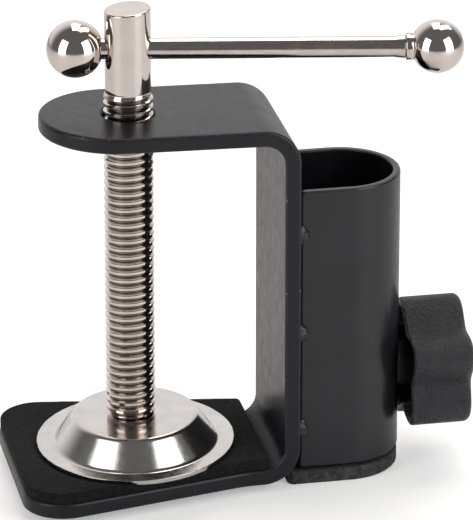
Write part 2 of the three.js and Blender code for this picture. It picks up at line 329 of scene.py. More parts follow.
def drill(radius, low, high, turn, place):
    """A round cutter along a turned Z axis."""
    bm = bmesh.new()
    turned(bm, [(0, low), (radius, low), (radius, high), (0, high)], ROUND_STEPS)
    bm.transform(Matrix.Translation(place) @ turn)
    return bm


def along(path, distance):
    """The point and the left normal at a distance along a path of straight runs and arcs."""
    (u, v), angle, runs = path
    for length, turn in runs:
        step = min(distance, length)
        if turn == 0:
            u += step * math.cos(angle)
            v += step * math.sin(angle)
        else:
            radius = length / turn
            new_angle = angle + turn * step / length
            u += radius * (math.sin(new_angle) - math.sin(angle))
            v -= radius * (math.cos(new_angle) - math.cos(angle))
            angle = new_angle
        distance -= step
        if distance <= 0:
            break
    return Vector((u, v)), Vector((-math.sin(angle), math.cos(angle)))


def bend(bm, path, to_world, arc_step=math.radians(5)):
    """Bends a flat blank along a path. Its x runs along the path, and its z stands to the path's left."""
    start = 0
    for length, turn in path[2]:
        if turn:
            steps = math.ceil(abs(turn) / arc_step)
            cut_at(bm, Vector((1, 0, 0)), [start + length * k / steps for k in range(steps + 1)])
        start += length
    for vertex in bm.verts:
        point, normal = along(path, max(0, vertex.co.x))
        place = point + normal * vertex.co.z
        vertex.co = to_world(place, vertex.co.y)


def path_length(path):
    """The length of a path's runs together."""
    return sum(length for length, _ in path[2])


def threaded(bm, radius, depth, pitch, low, high, low_r, high_r, segments=ROUND_STEPS,
             rows_per_turn=14):
    """A right-hand threaded surface from low to high, open at both ends. The thread starts from a
    chamfer at low_r and runs out to high_r. The groove attribute is 1 at the thread's root. Returns the
    edges of the lower and the upper end."""
    groove = bm.verts.layers.float.new("groove")
    chamfer_slope = 1.1
    run_out_length = 1.1 * pitch
    straight, curved = 0.55, 0.45
    turns = math.ceil((high - low) / pitch) + 4
    grid = []
    for k in range(turns * rows_per_turn + 1):
        row = []
        for i in range(segments):
            angle = 2 * math.pi * i / segments
            height = low + pitch * (k / rows_per_turn + i / segments - 2)
            off_crest = abs((k % rows_per_turn) / rows_per_turn - 0.5) * 2
            flank = min(1, max(0, (off_crest - CREST_SHARE) / FLANK_SHARE))
            fall = straight * flank + curved * flank * flank * (3 - 2 * flank)
            reach = min(radius - depth * fall, low_r + max(0, height - low) * chamfer_slope)
            run_out = min(1, max(0, (height - high + run_out_length) / run_out_length))
            run_out = run_out * run_out * (3 - 2 * run_out)
            reach += (high_r - reach) * run_out
            row.append(bm.verts.new((reach * math.cos(angle), reach * math.sin(angle), height)))
            row[-1][groove] = fall * (1 - run_out)
        grid.append(row)
    for k in range(len(grid) - 1):
        for i in range(segments - 1):
            bm.faces.new((grid[k][i], grid[k][i + 1], grid[k + 1][i + 1], grid[k + 1][i]))
        if k + rows_per_turn + 1 < len(grid):
            seam = grid[k + rows_per_turn][0], grid[k + rows_per_turn + 1][0]
            bm.faces.new((grid[k][-1], seam[0], seam[1], grid[k + 1][-1]))
    low_edges = keep_above(bm, Vector((0, 0, low)), Vector((0, 0, 1)), fill=False)
    high_edges = keep_above(bm, Vector((0, 0, high)), Vector((0, 0, -1)), fill=False)
    return [edge for edge in low_edges if edge.is_valid], high_edges


def ring_edges(bm, row):
    """The edges that join a closed row of vertices."""
    return [bm.edges.get((row[i - 1], row[i])) for i in range(len(row))]


# ---- Materials ----

WORN_COAT = (0.04, 0.04, 0.043)
BARE_STEEL = (0.17, 0.165, 0.16)
GROOVE_TONE = (0.20, 0.165, 0.135)
# The paler tone of the knob's painted highlight specks.
PAINTED_GLINT_TONE = (0.075, 0.075, 0.085)
FOAM_CELL_MM = 0.45
STREAK_SHRINK = 0.06


class Shader:
    """A material's node tree around one Principled BSDF, with object coordinates in metres."""

    def __init__(self, name):
        self.material = bpy.data.materials.new(name)
        self.material.use_nodes = True
        self.tree = self.material.node_tree
        self.bsdf = next(n for n in self.tree.nodes if n.type == "BSDF_PRINCIPLED")
        self.place = self.add("ShaderNodeTexCoord").outputs["Object"]

    def add(self, kind, **values):
        """A node with the values given for its properties."""
        node = self.tree.nodes.new(kind)
        for key, value in values.items():
            setattr(node, key, value)
        return node

    def link(self, source, target):
        """Joins an output to an input."""
        self.tree.links.new(source, target)

    def set(self, **values):
        """Constant values on the Principled BSDF's own sockets."""
        for key, value in values.items():
            self.bsdf.inputs[key.replace("_", " ")].default_value = value

    def noise(self, feature_mm, detail=2.0, rough=0.5, source=None):
        """Noise with features of about that size."""
        node = self.add("ShaderNodeTexNoise")
        self.link(source or self.place, node.inputs["Vector"])
        node.inputs["Scale"].default_value = 1 / (feature_mm * MM)
        node.inputs["Detail"].default_value = detail
        node.inputs["Roughness"].default_value = rough
        return node.outputs["Fac"]

    def spread(self, source, low, high, to_low=0.0, to_high=1.0):
        """Maps a value's range to another range, clamped."""
        node = self.add("ShaderNodeMapRange")
        self.link(source, node.inputs["Value"])
        ends = {"From Min": low, "From Max": high, "To Min": to_low, "To Max": to_high}
        for name, value in ends.items():
            node.inputs[name].default_value = value
        return node.outputs["Result"]

    def math(self, operation, first, second):
        """A sum or product of two values."""
        node = self.add("ShaderNodeMath", operation=operation)
        for socket, value in zip(node.inputs, (first, second)):
            if isinstance(value, (int, float)):
                socket.default_value = value
            else:
                self.link(value, socket)
        return node.outputs["Value"]

    def mix(self, factor, first, second):
        """A colour between two colours."""
        node = self.add("ShaderNodeMix", data_type="RGBA")
        self.link(factor, node.inputs["Factor"])
        for name, value in (("A", first), ("B", second)):
            socket = next(s for s in node.inputs if s.name == name and s.type == "RGBA")
            if isinstance(value, tuple):
                socket.default_value = (*value, 1)
            else:
                self.link(value, socket)
        return next(s for s in node.outputs if s.type == "RGBA")

    def attribute(self, name):
        """A value that the mesh carries on its vertices."""
        return self.add("ShaderNodeAttribute", attribute_name=name).outputs["Fac"]

    def colour(self, source):
        """Gives the surface its colour."""
        self.link(source, self.bsdf.inputs["Base Color"])

    def roughness(self, source):
        """Gives the surface its roughness."""
        self.link(source, self.bsdf.inputs["Roughness"])

    def bump(self, *layers):
        """Bump from layers of (height value, depth in millimetres)."""
        normal = None
        for source, depth_mm in layers:
            node = self.add("ShaderNodeBump")
            node.inputs["Distance"].default_value = depth_mm * MM
            self.link(source, node.inputs["Height"])
            if normal:
                self.link(normal, node.inputs["Normal"])
            normal = node.outputs["Normal"]
        self.link(normal, self.bsdf.inputs["Normal"])


def powder_coat(name, shade, specular):
    """Black powder coat of a given shade and gloss: fine orange peel, faint handling marks, and small
    chips along the edges."""
    look = Shader(name)
    cloud = look.noise(9, detail=3)
    grain = look.noise(0.35, detail=1)
    darker = (0.85 * shade, 0.85 * shade, 1.1 * shade)
    lighter = (1.15 * shade, 1.15 * shade, 1.45 * shade)
    base = look.mix(look.spread(cloud, 0.3, 0.7), darker, lighter)
    chips = look.spread(look.noise(0.8, detail=5, rough=0.7), 0.62, 0.66)
    patches = look.spread(look.noise(7, detail=1), 0.5, 0.56)
    edge = look.spread(look.attribute("edge"), 0.45, 0.8)
    chip = look.math("MULTIPLY", look.math("MULTIPLY", chips, patches), edge)
    worn = look.mix(look.math("MULTIPLY", edge, 0.35), base, WORN_COAT)
    look.colour(look.mix(chip, worn, BARE_STEEL))
    look.roughness(look.spread(look.noise(2.2, detail=4), 0.3, 0.7, 0.27, 0.36))
    look.set(Specular_IOR_Level=specular)
    look.bump((grain, 0.010), (look.noise(1.6, detail=1), 0.012))
    return look.material


def foam(name, shade):
    """Closed-cell foam: matte charcoal of a given shade, with a fine open grain and pale dust."""
    look = Shader(name)
    cells = look.add("ShaderNodeTexVoronoi")
    look.link(look.place, cells.inputs["Vector"])
    cells.inputs["Scale"].default_value = 1 / (FOAM_CELL_MM * MM)
    cell = cells.outputs["Distance"]
    mottle = look.noise(1.1, detail=4, rough=0.65)
    base = look.mix(look.spread(mottle, 0.35, 0.68), (0.45 * shade,) * 3, (1.2 * shade,) * 3)
    dust = look.spread(look.noise(0.5, detail=2, rough=0.8), 0.66, 0.74)
    look.colour(look.mix(dust, base, (3.4 * shade,) * 3))
    look.roughness(look.spread(cell, 0.0, 0.6, 0.75, 0.95))
    look.set(Specular_IOR_Level=0.12, Sheen_Weight=0.03, Sheen_Roughness=0.6)
    look.bump((cell, 0.10), (mottle, 0.14))
    return look.material


def nickel(name, tone, low_rough, high_rough, grain_mm, grain_depth):
    """Nickel plate of a given tone, with slight polishing marks and darker thread grooves."""
    look = Shader(name)
    cloud = look.noise(4, detail=3)
    tint = look.spread(cloud, 0.3, 0.7)
    plate = look.mix(tint, tuple(0.94 * part for part in tone), tuple(1.06 * part for part in tone))
    groove = look.spread(look.attribute("groove"), 0.45, 0.95)
    look.colour(look.mix(groove, plate, GROOVE_TONE))
    polish = look.spread(look.noise(1.2, detail=4), 0.3, 0.7, low_rough, high_rough)
    look.roughness(look.math("ADD", polish, look.math("MULTIPLY", groove, 0.2)))
    look.set(Metallic=1.0)
    look.bump((look.noise(grain_mm, detail=2), grain_depth), (look.noise(6, detail=1), 0.02))
    return look.material


def bar_nickel():
    """Nickel on the drawn bar: fine lengthwise streaks and duller patches."""
    look = Shader("bar_nickel")
    turn = look.add("ShaderNodeMapping")
    look.link(look.place, turn.inputs["Vector"])
    turn.inputs["Rotation"].default_value[2] = -math.atan2(BAR_AXIS.y, BAR_AXIS.x)
    turn.inputs["Scale"].default_value = (STREAK_SHRINK, 1, 1)
    streaks = look.noise(0.5, detail=4, rough=0.6, source=turn.outputs["Vector"])
    look.colour(look.mix(look.spread(streaks, 0.35, 0.65), (0.58, 0.525, 0.485), (0.70, 0.64, 0.60)))
    look.roughness(look.spread(look.noise(3, detail=5), 0.4, 0.7, 0.07, 0.2))
    look.set(Metallic=1.0)
    look.bump((streaks, 0.006), (look.noise(2.5, detail=3), 0.02))
    return look.material


def knob_plastic():
    """Black moulded plastic with a sparked grain, and paler specks in patches that are painted
    highlights: glints of the grain catching the light, put into the colour.
    """
    look = Shader("knob_plastic")
    grain = look.noise(0.45, detail=4, rough=0.6)
    cloud = look.noise(6, detail=2)
    base = look.mix(look.spread(cloud, 0.3, 0.7), (0.007, 0.007, 0.010), (0.012, 0.012, 0.016))
    # Painted highlights: paler specks in patches that stand in for the grain's glints of light.
    painted_glints = look.spread(look.noise(0.55, detail=3, rough=0.7), 0.54, 0.68)
    patches = look.spread(look.noise(8, detail=1), 0.42, 0.62, 0.15, 1)
    look.colour(look.mix(look.math("MULTIPLY", painted_glints, patches), base, PAINTED_GLINT_TONE))
    look.roughness(look.spread(grain, 0.35, 0.65, 0.28, 0.46))
    look.set(Specular_IOR_Level=0.6)
    look.bump((grain, 0.55), (look.noise(0.9, detail=2), 0.25))
    return look.material


POWDER = powder_coat("powder_coat", shade=0.0095, specular=0.3)
SLEEVE_POWDER = powder_coat("sleeve_powder_coat", shade=0.0095, specular=0.5)
FOAM = foam("foam", shade=0.011)
FOOT_FOAM = foam("foot_foam", shade=0.062)
POLISHED = nickel("polished_nickel", tone=(0.68, 0.615, 0.57), low_rough=0.035, high_rough=0.07,
                  grain_mm=0.5, grain_depth=0.0015)
STUD_NICKEL = nickel("thread_nickel", tone=(0.66, 0.60, 0.56), low_rough=0.10, high_rough=0.18,
                     grain_mm=0.4, grain_depth=0.006)
SATIN = nickel("satin_nickel", tone=(0.64, 0.615, 0.585), low_rough=0.13, high_rough=0.20,
               grain_mm=0.25, grain_depth=0.009)
BAR_LOOK = bar_nickel()
PLASTIC = knob_plastic()


def add_piece(node, bm, material, body):
    """Turns a solid into the piece that stands for a CAD node."""
    bmesh.ops.recalc_face_normals(bm, faces=bm.faces)
    bm.transform(Matrix.Scale(MM, 4))
    mesh = bpy.data.meshes.new(node + "_look")
    bm.to_mesh(mesh)
    bm.free()
    mesh.shade_smooth()
    mesh.set_sharp_from_angle(angle=SHARP_ANGLE)
    mesh.materials.append(material)
    piece = bpy.data.objects.new(node + "_look", mesh)
    bpy.context.scene.collection.objects.link(piece)
    weighted = piece.modifiers.new("flat_faces", "WEIGHTED_NORMAL")
    weighted.keep_sharp = True
    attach(piece, body)
    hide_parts(node)
    return piece


# ---- Clamp frame and its pad ----

def clamp_frame():
    """One flat blank, bent twice, with the screw's hole cut through its upper jaw."""
    mid_r = BEND_OUTER_R - STRAP_THICK / 2
    rise = math.atan(JAW_RISE)
    corner = Vector((FRAME_HIGH.x, JAW_TOP_AT_SCREW - JAW_RISE * FRAME_HIGH.x))
    upper_reach = BEND_OUTER_R * math.tan((math.pi / 2 - rise) / 2)
    ahead = Vector((math.cos(rise), -math.sin(rise)))
    left = Vector((math.sin(rise), math.cos(rise)))
    jaw = (corner.x - NOSE_X) / math.cos(rise) - upper_reach
    start = corner - ahead * (jaw + upper_reach) - left * STRAP_THICK / 2
    spine = corner.y - upper_reach - BEND_OUTER_R
    runs = [(jaw, 0), ((math.pi / 2 - rise) * mid_r, rise - math.pi / 2), (spine, 0),
            (math.pi / 2 * mid_r, -math.pi / 2), (FRAME_HIGH.x - BEND_OUTER_R - FRAME_LOW.x, 0)]
    path = (start, -rise, runs)
    total = path_length(path)
    flare = total - (FLARE_START_X - FRAME_LOW.x)
    outline = rounded([
        (0, -STRAP_HALF_WIDTH, STRAP_HALF_WIDTH - HALF_CIRCLE_GAP),
        (flare, -STRAP_HALF_WIDTH, FLARE_R),
        (total, -TIP_HALF_WIDTH, TIP_CORNER_R),
        (total, TIP_HALF_WIDTH, TIP_CORNER_R),
        (flare, STRAP_HALF_WIDTH, FLARE_R),
        (0, STRAP_HALF_WIDTH, STRAP_HALF_WIDTH - HALF_CIRCLE_GAP),
    ], step=math.radians(3))
    bm = slab(outline, -STRAP_THICK / 2, STRAP_THICK / 2, STRAP_EDGE)
    bend(bm, path, lambda place, across: Vector((place.x, across, place.y)))
    top = JAW_TOP_AT_SCREW
    bottom = top - STRAP_THICK
    cutter_low, cutter_high = top - 6, top + 3
    mouth_low_r, mouth_high_r = SCREW_HOLE_R + 3, SCREW_HOLE_R + 3.4
    hole = bmesh.new()
    turned(hole, [(0, cutter_low), (mouth_low_r, cutter_low), (SCREW_HOLE_R, bottom + 0.25),
                  (SCREW_HOLE_R, top - 0.35), (mouth_high_r, cutter_high), (0, cutter_high)])
    return subtract(bm, hole)


def jaw_pad():
    """The foam pad: the lower jaw's plan a little smaller, with a slightly uneven face. The leaning foot
    presses it down, and its back edge rides up the inside of the lower bend."""
    press, spring_back, clear_of_foot, clear_of_bend = 0.04, 0.7, 0.2, 0.05
    half = STRAP_HALF_WIDTH - PAD_INSET
    tip_half = TIP_HALF_WIDTH - PAD_INSET
    tip_r = TIP_CORNER_R - PAD_INSET
    outline = rounded([
        (PAD_HIGH.x, -half, 0.6),
        (PAD_HIGH.x, PAD_FAR_BACK_Y, 1.0),
        (PAD_LOW.x, tip_half, tip_r),
        (PAD_LOW.x, -tip_half, tip_r),
        (FLARE_START_X, -half, 4),
    ])
    bm = slab(outline, PAD_LOW.z, PAD_HIGH.z, PAD_EDGE, steps=3)
    roughen_foam(bm, PAD_LOW, PAD_HIGH, cell=0.9)
    for vertex in bm.verts:
        if vertex.co.z > (PAD_LOW.z + PAD_HIGH.z) / 2:
            off_foot = math.hypot(vertex.co.x - FOOT_SHIFT_X, vertex.co.y) - FOOT_R
            pressed = foot_underside(vertex.co.x, vertex.co.y) - press
            vertex.co.z = min(vertex.co.z, pressed + spring_back * max(0, off_foot - clear_of_foot))
    bend_x = FRAME_HIGH.x - BEND_OUTER_R
    inner_r = BEND_OUTER_R - STRAP_THICK
    for vertex in bm.verts:
        past = vertex.co.x - bend_x
        if past > 0:
            steel = PAD_LOW.z + inner_r - math.sqrt(inner_r ** 2 - past ** 2)
            vertex.co.z = max(vertex.co.z, steel + clear_of_bend)
    return bm


def foot_underside(x, y):
    """The height of the leaning foot's rim, which presses the pad down at the front left."""
    lean = y * math.tan(FOOT_LEAN_FRONT) + (x - FOOT_SHIFT_X) * math.tan(FOOT_LEAN_LEFT)
    return FOOT_LOW.z + lean


def roughen_foam(bm, low, high, cell=1.2, amount=0.05):
    """Splits a foam slab into small faces and moves its skin a little in and out."""
    for axis, start, end in ((Vector((1, 0, 0)), low.x, high.x), (Vector((0, 1, 0)), low.y, high.y)):
        count = round((end - start) / cell)
        cut_at(bm, axis, [start + (end - start) * k / count for k in range(1, count)])
    middle = (low.z + high.z) / 2
    thick = high.z - low.z
    broad, fine, across = 0.45, 1.7, 0.9
    for vertex in bm.verts:
        wave = noise.noise(vertex.co * broad) + 0.6 * noise.noise(vertex.co * fine)
        top_share = max(0, (vertex.co.z - middle) / thick * 2)
        vertex.co.z += amount * wave * top_share
        side = noise.noise(vertex.co * across + Vector((5, 3, 1)))
        outward = Vector((vertex.co.x - (low.x + high.x) / 2, vertex.co.y, 0)).normalized()
        vertex.co -= outward * amount * (0.6 + side)


# ---- Pole socket ----

def socket_sleeve():
    """A strip bent into a U, with rounded edges, and a hole for the thumb screw."""
    mid_r = SOCKET_HALF_WIDTH - SOCKET_WALL / 2
    leg = SOCKET_ARC_X - SLEEVE_LOW.x
    path = ((SLEEVE_LOW.x, -mid_r), 0.0, [(leg, 0), (math.pi * mid_r, math.pi), (leg, 0)])
    total = path_length(path)
    outline = rounded([
        (0, SLEEVE_LOW.z, SOCKET_CORNER_R),
        (total, SLEEVE_LOW.z, SOCKET_CORNER_R),
        (total, SLEEVE_HIGH.z, SOCKET_CORNER_R),
        (0, SLEEVE_HIGH.z, SOCKET_CORNER_R),
    ], step=math.radians(15))
    bm = slab(outline, -SOCKET_WALL / 2, SOCKET_WALL / 2, SOCKET_EDGE)
    bend(bm, path, lambda place, across: Vector((place.x, place.y, across)), math.radians(4))
    turn = Matrix.Rotation(math.pi / 2, 4, "Y")
    hole_r, reach = STUD_R + 0.3, 20
    return subtract(bm, drill(hole_r, 0, reach, turn, Vector((SOCKET_ARC_X, 0, KNOB_Z))))


def weld_bead(side, height, seed):
    """A lumpy tack weld in the corner between the spine and one side wall of the socket."""
    bm = bmesh.new()
    bmesh.ops.create_icosphere(bm, subdivisions=5, radius=1)
    corner = Vector((FRAME_HIGH.x, side * SOCKET_HALF_WIDTH, height))
    for vertex in bm.verts:
        direction = vertex.co.copy()
        lump = 1 + 0.13 * noise.noise(direction * 1.6 + Vector((seed, 0, 0)))
        lump += 0.035 * math.sin(direction.z * 9 + seed)
        vertex.co = corner + direction * WELD_REACH * lump
    keep_above(bm, corner, Vector((1, 0, 0)))
    keep_above(bm, corner, Vector((0, side, 0)))
    return bm


def socket_floor_plate():
    """The plate set into the lower end of the sleeve."""
    outline = d_outline(PLATE_LOW.x, PLATE_HIGH.y, 0.3)
    return slab(outline, PLATE_LOW.z, PLATE_HIGH.z, 0.15, steps=2)


def socket_foot_pad():
    """The foam foot under the socket."""
    outline = d_outline(FOAM_LOW.x, FOAM_HIGH.y, 1.5)
    bm = slab(outline, FOAM_LOW.z, FOAM_HIGH.z, 0.4, steps=3)
    roughen_foam(bm, FOAM_LOW, FOAM_HIGH)
    return bm


# ---- Thumb screw ----

def lobe_radius(angle):
    """The knob's wavy outline: five lobes that run smoothly into each other."""
    return KNOB_MEAN_R + KNOB_WAVE * math.cos(LOBE_COUNT * (angle - LOBE_START))


def knob_ring(x, radius_at):
    """A ring about the thumb screw's axis, whose radius follows the angle."""
    points = []
    for i in range(KNOB_STEPS):
        angle = 2 * math.pi * i / KNOB_STEPS
        radius = radius_at(angle)
        points.append(Vector((x, -radius * math.sin(angle), KNOB_Z + radius * math.cos(angle))))
    return points


def knob_head():
    """A moulded shell, from the end of the stud's bore over the boss, the hollow and the wavy wall to
    the middle of the face."""
    bore = STUD_R + 0.06
    bore_end = STUD_HIGH.x + 0.2
    boss_chamfer, boss_fillet, bore_chamfer = 0.3, 0.4, 0.1
    rings = [[Vector((bore_end, 0, KNOB_Z))]]

    def round_ring(x, radius):
        """Adds a round ring."""
        rings.append(knob_ring(x, lambda angle: radius))

    def wavy_ring(x, inset, share=1.0):
        """Adds a ring inside the lobed outline by an inset, drawn in to a share of its size."""
        rings.append(knob_ring(x, lambda angle: (lobe_radius(angle) - inset) * share))

    round_ring(bore_end, bore)
    round_ring(BOSS_X + bore_chamfer, bore)
    round_ring(BOSS_X, bore + bore_chamfer)
    round_ring(BOSS_X, BOSS_R - boss_chamfer)
    round_ring(BOSS_X + boss_chamfer, BOSS_R)
    round_ring(HOLLOW_X - boss_fillet, BOSS_R)
    round_ring(HOLLOW_X, BOSS_R + boss_fillet)
    for up_wall, off_wall in ((0, 0.8), (0.25, 0.2), (0.8, 0)):
        wavy_ring(HOLLOW_X - up_wall, KNOB_WALL + off_wall)
    rim_r = KNOB_WALL / 2
    rim_steps = 12
    for k in range(rim_steps + 1):
        turn = math.pi * k / rim_steps
        wavy_ring(KNOB_LOW.x + RIM_EDGE * (1 - math.sin(turn)), rim_r + rim_r * math.cos(turn))
    edge_steps = 10
    for k in range(edge_steps + 1):
        turn = math.pi / 2 * k / edge_steps
        x = KNOB_HIGH.x - KNOB_EDGE * (1 - math.sin(turn)) - KNOB_CROWN
        wavy_ring(x, KNOB_EDGE * (1 - math.cos(turn)))
    for share in (0.7, 0.4, 0.15):
        wavy_ring(KNOB_HIGH.x - KNOB_CROWN * share ** 2, KNOB_EDGE, share)
    rings.append([Vector((KNOB_HIGH.x, 0, KNOB_Z))])
    bm = bmesh.new()
    add_rings(bm, rings)
    return bm


def knob_nut():
    """A chamfered hexagon nut whose inner side follows the socket's round wall."""
    bm = bmesh.new()
    segments = 96
    side = math.pi / 3
    flat = NUT_FLATS / 2
    corner = flat / math.cos(side / 2)
    bore = STUD_R + 0.15
    wall_gap = 0.02

    def ring(x, limit):
        """A round or hexagonal ring no wider than the limit, at x, or on the wall where x is None."""
        placed = []
        for i in range(segments):
            angle = 2 * math.pi * i / segments
            off_flat = (angle + side / 2) % side - side / 2
            radius = min(limit, flat / math.cos(off_flat))
            y, z = radius * math.cos(angle), radius * math.sin(angle)
            wall_x = SOCKET_ARC_X + math.sqrt(SOCKET_HALF_WIDTH ** 2 - y ** 2) + wall_gap
            placed.append(Vector((wall_x if x is None else x, y, KNOB_Z + z)))
        return placed

    rings = [
        ring(None, bore),
        ring(None, corner),
        ring(NUT_OUTER_X - 0.5, corner),
        ring(NUT_OUTER_X - 0.2, corner - 0.3),
        ring(NUT_OUTER_X, flat - 0.15),
        ring(NUT_OUTER_X, bore),
    ]
    add_rings(bm, rings, closed=True)
    return bm


def knob_stud():
    """A threaded stud with a chamfered tip."""
    bm = bmesh.new()
    tip_r, end_r = 1.7, 1.9
    ends = threaded(bm, STUD_R, STUD_THREAD_DEPTH, STUD_PITCH, STUD_LOW.x, STUD_HIGH.x, tip_r, end_r,
                    segments=40, rows_per_turn=10)
    for edges in ends:
        bmesh.ops.edgenet_fill(bm, edges=edges)
    bm.transform(Matrix.Translation((0, 0, KNOB_Z)) @ Matrix.Rotation(math.pi / 2, 4, "Y"))
    return bm


# ---- Clamp screw, foot and tommy bar ----

def clamp_screw():
    """Peened tip, spigot, thread and cross-drilled head in one closed skin."""
    start = FOOT_HIGH.z + 0.02
    peen_top = FOOT_HIGH.z - FOOT_SHEET - PEEN_GAP
    chamfer_r, shoulder_r = THREAD_R - 0.95, THREAD_R - 1.4
    bm = bmesh.new()
    ends = threaded(bm, THREAD_R, THREAD_DEPTH, THREAD_PITCH, start, THREAD_TOP_Z, chamfer_r, HEAD_R)
    tip = rounded([
        (0, SCREW_LOW.z, 0), (PEEN_R, SCREW_LOW.z, 0.5), (PEEN_R, peen_top, 0.2),
        (SPIGOT_R, peen_top, 0.1), (SPIGOT_R, start, 0.05), (shoulder_r, start, 0),
    ], closed=False, step=math.radians(30))
    low_row = turned(bm, tip, ROUND_STEPS)[-1]
    top = SCREW_HIGH.z - HEAD_SLANT * HEAD_R
    head = rounded([
        (HEAD_R, THREAD_TOP_Z + 0.3, 0), (HEAD_R, top, 0.28), (0, top, 0),
    ], closed=False, step=math.radians(22))
    head_rows = turned(bm, head[:-1], ROUND_STEPS)
    for row in head_rows[1:]:
        for vertex in row:
            vertex.co.z += HEAD_SLANT * vertex.co.x
    bm.faces.new(head_rows[-1])
    for row, edges in zip((low_row, head_rows[0]), ends):
        bmesh.ops.bridge_loops(bm, edges=ring_edges(bm, row) + edges)
    turn = BAR_AXIS.to_track_quat("Z", "Y").to_matrix().to_4x4()
    hole_r, reach = BAR_R + 0.2, HEAD_R + 3
    return subtract(bm, drill(hole_r, -reach, reach, turn, Vector((0, 0, BAR_Z))))


def pressure_foot():
    """A cup pressed from sheet with a flat rim whose sheared edge is slightly ragged. It sits loose on
    the screw's tip, a little off the axis and leaning."""
    low, top = FOOT_LOW.z, FOOT_HIGH.z
    rim_top = low + FOOT_RIM_THICK
    hollow_top = top - FOOT_SHEET
    profile = rounded([
        (FOOT_HOLE_R, hollow_top, 0.1),
        (FOOT_HOLE_R, top, 0.15),
        (FOOT_TOP_R, top, 1.3),
        (FOOT_FLANK_R, rim_top, 1.2),
        (FOOT_R, rim_top, 0.1),
        (FOOT_R, low, 0.15),
        (FOOT_FLANK_R - 0.3, low, 1.0),
        (FOOT_TOP_R - 0.6, hollow_top, 0.7),
    ], step=math.radians(9))
    bm = bmesh.new()
    turned(bm, profile, segments=300, closed=True)
    edge_band, edge_depth, edge_lift = 0.45, 0.07, 0.05
    for vertex in bm.verts:
        radius = math.hypot(vertex.co.x, vertex.co.y)
        share = max(0, (radius - FOOT_R + edge_band) / edge_band)
        ragged = noise.noise(vertex.co * 1.9) + 0.8 * noise.noise(vertex.co * 5.5)
        outward = Vector((vertex.co.x, vertex.co.y, 0)) / radius
        vertex.co += outward * edge_depth * share * (ragged - 1)
        if vertex.co.z > low + FOOT_RIM_THICK / 2:
            vertex.co.z += edge_lift * share * noise.noise(vertex.co * 3.1)
    bm.transform(foot_place())
    return bm


def foot_place():
    """The foot's place: shifted off the screw's axis, and leaning about the middle of its rim."""
    middle = Vector((FOOT_SHIFT_X, 0, FOOT_LOW.z))
    lean = Matrix.Rotation(-FOOT_LEAN_LEFT, 4, "Y") @ Matrix.Rotation(FOOT_LEAN_FRONT, 4, "X")
    return Matrix.Translation(middle) @ lean @ Matrix.Translation((0, 0, -FOOT_LOW.z))


def on_bar(bm, distance, side=1):
    """Moves a solid from the Z axis to a distance along the bar. Its +Z points away from the middle."""
    turn = (BAR_AXIS * side).to_track_quat("Z", "Y").to_matrix().to_4x4()
    bm.transform(Matrix.Translation(Vector((0, 0, BAR_Z)) + BAR_AXIS * distance) @ turn)
    return bm


def tommy_bar():
    """A drawn rod that swells a little before the outer ball and ends in a tenon inside it."""
    swell_end = BALL_OUTER_S - BALL_OUTER_R - COLLAR_LENGTH
    profile = rounded([
        (0, BALL_INNER_S, 0),
        (BAR_R, BALL_INNER_S, 0.3),
        (BAR_R, swell_end - BAR_SWELL_LENGTH, 3),
        (BAR_R + BAR_SWELL, swell_end - 0.1, 0.12),
        (BAR_TENON_R, swell_end, 0.1),
        (BAR_TENON_R, BALL_OUTER_S, 0.2),
        (0, BALL_OUTER_S, 0),
    ], closed=False, step=math.radians(15))
    bm = bmesh.new()
    turned(bm, profile)
    return on_bar(bm, 0)


def bar_ball(side):
    """A ball bored for the bar's end. The outer one has a short collar."""
    radius = BALL_OUTER_R if side > 0 else BALL_INNER_R
    bore = BAR_R + (0.12 if side < 0 else -0.05)
    neck = COLLAR_R if side > 0 else BAR_R + 0.3
    neck_z = -math.sqrt(radius ** 2 - neck ** 2)
    first = math.acos(neck_z / radius)
    profile = [(0, 0), (bore, 0)]
    if side > 0:
        end = -radius - COLLAR_LENGTH
        collar = rounded([
            (bore, 0, 0), (bore, end, 0.1), (COLLAR_R, end, 0.25), (COLLAR_R, neck_z, 0),
        ], closed=False, step=math.radians(30))
        profile += collar[1:-1]
        profile.append((COLLAR_R, neck_z - 0.25))
        profile.append((COLLAR_R - 0.12, neck_z - 0.08))
    else:
        profile.append((bore, neck_z))
    for k in range(ROUND_STEPS + 1):
        angle = first * (1 - k / ROUND_STEPS)
        profile.append((radius * math.sin(angle), radius * math.cos(angle)))
    profile[-1] = (0, radius)
    bm = bmesh.new()
    turned(bm, profile, segments=128)
    return on_bar(bm, BALL_OUTER_S if side > 0 else BALL_INNER_S, side)


# ---- The pieces ----

add_piece("clamp_frame", clamp_frame(), POWDER, "frame")
add_piece("jaw_pad", jaw_pad(), FOAM, "frame")
add_piece("socket_sleeve", socket_sleeve(), SLEEVE_POWDER, "frame")
for level, place in enumerate(("upper", "middle", "lower")):
    for side, face in ((-1, "front"), (1, "back")):
        name = f"weld_{face}_{place}"
        low, high = box_mm(name)
        bead = weld_bead(side, (low.z + high.z) / 2, seed=3.7 * level + side)
        add_piece(name, bead, SLEEVE_POWDER, "frame")
add_piece("socket_floor_plate", socket_floor_plate(), POWDER, "frame")
add_piece("socket_foot_pad", socket_foot_pad(), FOOT_FOAM, "frame")
add_piece("knob_nut", knob_nut(), POWDER, "frame")
add_piece("knob_stud", knob_stud(), STUD_NICKEL, "stud")
add_piece("knob_head", knob_head(), PLASTIC, "knob")
add_piece("pressure_foot", pressure_foot(), SATIN, "foot")
add_piece("clamp_screw", clamp_screw(), POLISHED, "screw")
add_piece("tommy_bar", tommy_bar(), BAR_LOOK, "bar")
add_piece("bar_ball_inner", bar_ball(-1), POLISHED, "bar")
add_piece("bar_ball_outer", bar_ball(1), POLISHED, "bar")


# ---- Floor, light and camera ----

CENTRE = (Vector(CAD_BOUNDS[0]) + Vector(CAD_BOUNDS[1])) / 2
CAMERA_AZIMUTH = -11.32
CAMERA_ELEVATION = 21.85
CAMERA_DISTANCE = 0.920
CAMERA_LENS = 333.5
AIM = Vector((20.67, -0.42, 41.42)) * MM
FLOOR_HALF_SIZE = 3.0
FLOOR_GLOW = 0.34
LIGHT_DISTANCE = 0.75


